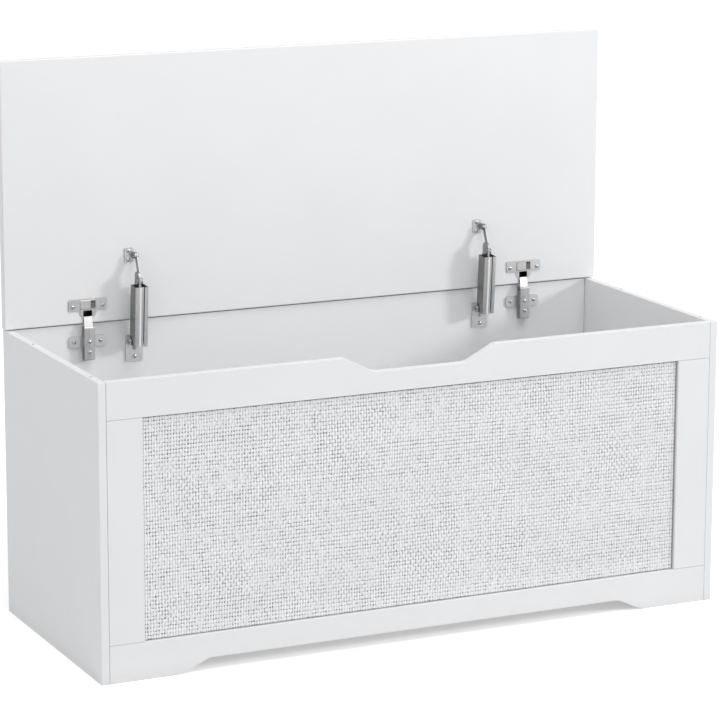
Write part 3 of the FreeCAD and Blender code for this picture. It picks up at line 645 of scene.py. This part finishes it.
class CHEST_OT_sliders(bpy.types.Operator):
    """Add the ribbed plastic slider that sits in a seat beside each hinge's cup, dark grey as painted shade
    of that recess
    """
    bl_idname = "chest.sliders"
    bl_label = "Hinge sliders"

    # Distances from the cup's middle, from its front and from its top
    INNER_SIDE, OUTER_SIDE = 4.3 * MM, 11.6 * MM
    FACE, BACK = 0.2 * MM, 1.6 * MM
    TOP, FOOT = 2.6 * MM, 13.9 * MM

    # Height of the shadow at the top, slant of the top edge, and the ribs between the grooves
    SHADOW = 5.0 * MM
    SLANT = 1.0 * MM
    GROOVE = 0.45 * MM
    STRIPS = 9
    GROOVED_ROWS = (2, 4, 6)
    ROUNDING = 0.12 * MM

    # Edges that turn further than this are rounded, in radians
    SHARP = 0.9

    def execute(self, context):
        finish = slider_plastic(span("hinge_cup_left", 2)[1] - self.SHADOW)
        for side in ("left", "right"):
            self.slider("hinge_slider_" + side, "hinge_cup_" + side, finish)
        return {"FINISHED"}

    def slider(self, name, cup, finish):
        middle = sum(span(cup, 0)) / 2
        front, top = span(cup, 1)[0], span(cup, 2)[1]
        low = Vector((middle + self.INNER_SIDE, front + self.FACE, top - self.FOOT))
        high = Vector((middle + self.OUTER_SIDE, front + self.BACK, top - self.TOP))
        bm = bmesh.new()
        made = bmesh.ops.create_grid(bm, x_segments=1, y_segments=self.STRIPS, size=0.5)
        bmesh.ops.rotate(bm, verts=bm.verts, cent=(0, 0, 0), matrix=Matrix.Rotation(math.pi / 2, 3, "X"))
        for vert in made["verts"]:
            row = round((vert.co.z + 0.5) * self.STRIPS)
            inwards = self.GROOVE * (row in self.GROOVED_ROWS) + self.SLANT * (row == self.STRIPS)
            vert.co = Vector((low.x + (vert.co.x + 0.5) * (high.x - low.x), low.y + inwards,
                              low.z + row / self.STRIPS * (high.z - low.z)))
        sides = bmesh.ops.extrude_edge_only(bm, edges=[edge for edge in bm.edges if edge.is_boundary])
        for vert in [item for item in sides["geom"] if isinstance(item, bmesh.types.BMVert)]:
            vert.co.y = high.y
        bmesh.ops.holes_fill(bm, edges=[edge for edge in bm.edges if edge.is_boundary])
        bmesh.ops.recalc_face_normals(bm, faces=bm.faces)
        sharp = [edge for edge in bm.edges if edge.calc_face_angle(0) > self.SHARP]
        bmesh.ops.bevel(bm, geom=sharp, offset=self.ROUNDING, segments=2, profile=0.5, affect="EDGES",
                        material=-1)
        piece(name, bm, "lid", "bumper", finish, smooth=False)


# Place, aim and diameter of each lamp, in metres
LAMPS = {"key": ((13.0, -8.1, 5.1), (0, 0, 0.45), 2.8),
         "top": ((0.4, -1.0, 2.9), (0, 0.1, 0.6), 1.8)}

# The camera stands at the left front, higher than the lid, and looks down. Its place is in metres, its
# turns are in radians, and its film and lens are in millimetres.
CAMERA_PLACE = (-1.98372, -4.14287, 1.39612)
CAMERA_TURN = 0.43408
CAMERA_TILT = 0.20582
CAMERA_FILM = 36
CAMERA_LENS = 157.05
CAMERA_SHIFT = (0.05, -0.05)
CAMERA_REACH = 100

# Half the floor's width in metres, and the glow that brings the floor that the camera sees up to white
FLOOR_HALF = 15
FLOOR_GLOW = 0.40


class CHEST_OT_stage(bpy.types.Operator):
    """Set the floor, the lights and the camera"""
    bl_idname = "chest.stage"
    bl_label = "Stage"

    def execute(self, context):
        studio = context.scene.chest_studio
        self.floor(studio)
        self.sky(context.scene, studio)
        for name, (place, aim, diameter) in LAMPS.items():
            self.lamp(name, place, aim, diameter, getattr(studio, name))
        self.camera(context.scene)
        context.scene.view_settings.view_transform = "Standard"
        return {"FINISHED"}

    def floor(self, studio):
        bm = bmesh.new()
        bmesh.ops.create_grid(bm, x_segments=1, y_segments=1, size=FLOOR_HALF)
        mesh = bpy.data.meshes.new("floor")
        bm.to_mesh(mesh)
        bm.free()
        paint = Paint("floor")
        plain = paint.add("ShaderNodeBsdfDiffuse", {}, {"Color": studio.floor})
        white = paint.add("ShaderNodeBsdfDiffuse", {}, {"Color": (1, 1, 1)})
        glow = paint.add("ShaderNodeEmission", {}, {"Strength": FLOOR_GLOW})
        bright = paint.add("ShaderNodeAddShader", {}, {0: white, 1: glow})
        surface = paint.add("ShaderNodeMixShader", {},
                            {0: paint.seen("Camera", "Glossy"), 1: plain, 2: bright})
        paint.feed(paint.tree.nodes["Material Output"].inputs["Surface"], surface)
        mesh.materials.append(paint.material)
        obj = bpy.data.objects.new("floor", mesh)
        bpy.context.scene.collection.objects.link(obj)

    def sky(self, scene, studio):
        """A soft light that fades to the right, to the back and overhead, seen as plain white."""
        world = bpy.data.worlds.new("studio")
        world.use_nodes = True
        nodes = Nodes(world.node_tree)
        way = nodes.add("ShaderNodeTexCoord", output="Generated")
        strength = studio.sky
        for axis, start, share in (("X", -1, studio.beside), ("Y", -1, studio.behind),
                                   ("Z", 0, studio.overhead)):
            part = nodes.add("ShaderNodeSeparateXYZ", {}, {"Vector": way}, output=axis)
            strength = strength * part.fade(start, share)
        lit = world.node_tree.nodes["Background"]
        nodes.feed(lit.inputs["Color"], (1, 1, 1))
        nodes.feed(lit.inputs["Strength"], strength)
        white = nodes.add("ShaderNodeBackground", {}, {"Color": (1, 1, 1), "Strength": 1.0})
        backdrop = nodes.add("ShaderNodeMixShader", {}, {0: nodes.seen("Camera", "Glossy", "Transmission"),
                                                         1: Wire(nodes, lit.outputs[0]), 2: white})
        nodes.feed(world.node_tree.nodes["World Output"].inputs["Surface"], backdrop)
        scene.world = world

    def lamp(self, name, place, aim, diameter, power):
        light = bpy.data.lights.new(name, "AREA")
        light.shape = "DISK"
        light.size = diameter
        light.energy = power
        obj = bpy.data.objects.new(name, light)
        obj.location = place
        obj.rotation_euler = (Vector(aim) - Vector(place)).to_track_quat("-Z", "Y").to_euler()
        bpy.context.scene.collection.objects.link(obj)

    def camera(self, scene):
        camera = bpy.data.cameras.new("camera")
        camera.sensor_width = CAMERA_FILM
        camera.lens = CAMERA_LENS
        camera.shift_x, camera.shift_y = CAMERA_SHIFT
        camera.clip_end = CAMERA_REACH
        obj = bpy.data.objects.new("camera", camera)
        obj.location = CAMERA_PLACE
        obj.rotation_euler = (math.pi / 2 - CAMERA_TILT, 0, -CAMERA_TURN)
        scene.collection.objects.link(obj)
        scene.camera = obj


class CHEST_PT_panel(bpy.types.Panel):
    bl_idname = "CHEST_PT_panel"
    bl_label = "Storage chest"
    bl_space_type = "VIEW_3D"
    bl_region_type = "UI"
    bl_category = "Storage chest"

    def draw(self, context):
        layout = self.layout
        for title, group in (("Weave", context.scene.chest_weave), ("Finishes", context.scene.chest_finishes),
                             ("Studio", context.scene.chest_studio)):
            box = layout.box()
            box.label(text=title)
            for name in group.__annotations__:
                box.prop(group, name)
        for operator in OPERATORS:
            layout.operator(operator.bl_idname)


GROUPS = {"chest_weave": WeaveSizes, "chest_finishes": Finishes, "chest_studio": Studio}
OPERATORS = (CHEST_OT_boards, CHEST_OT_woven_front, CHEST_OT_hardware, CHEST_OT_sliders, CHEST_OT_stage)
CLASSES = (*GROUPS.values(), *OPERATORS, CHEST_PT_panel)


def register():
    for cls in CLASSES:
        bpy.utils.register_class(cls)
    for name, group in GROUPS.items():
        setattr(bpy.types.Scene, name, PointerProperty(type=group))


def unregister():
    for name in GROUPS:
        delattr(bpy.types.Scene, name)
    for cls in reversed(CLASSES):
        bpy.utils.unregister_class(cls)


def main():
    register()
    bpy.ops.chest.boards()
    bpy.ops.chest.woven_front()
    bpy.ops.chest.hardware()
    bpy.ops.chest.sliders()
    bpy.ops.chest.stage()


if __name__ == "__main__":
    main()
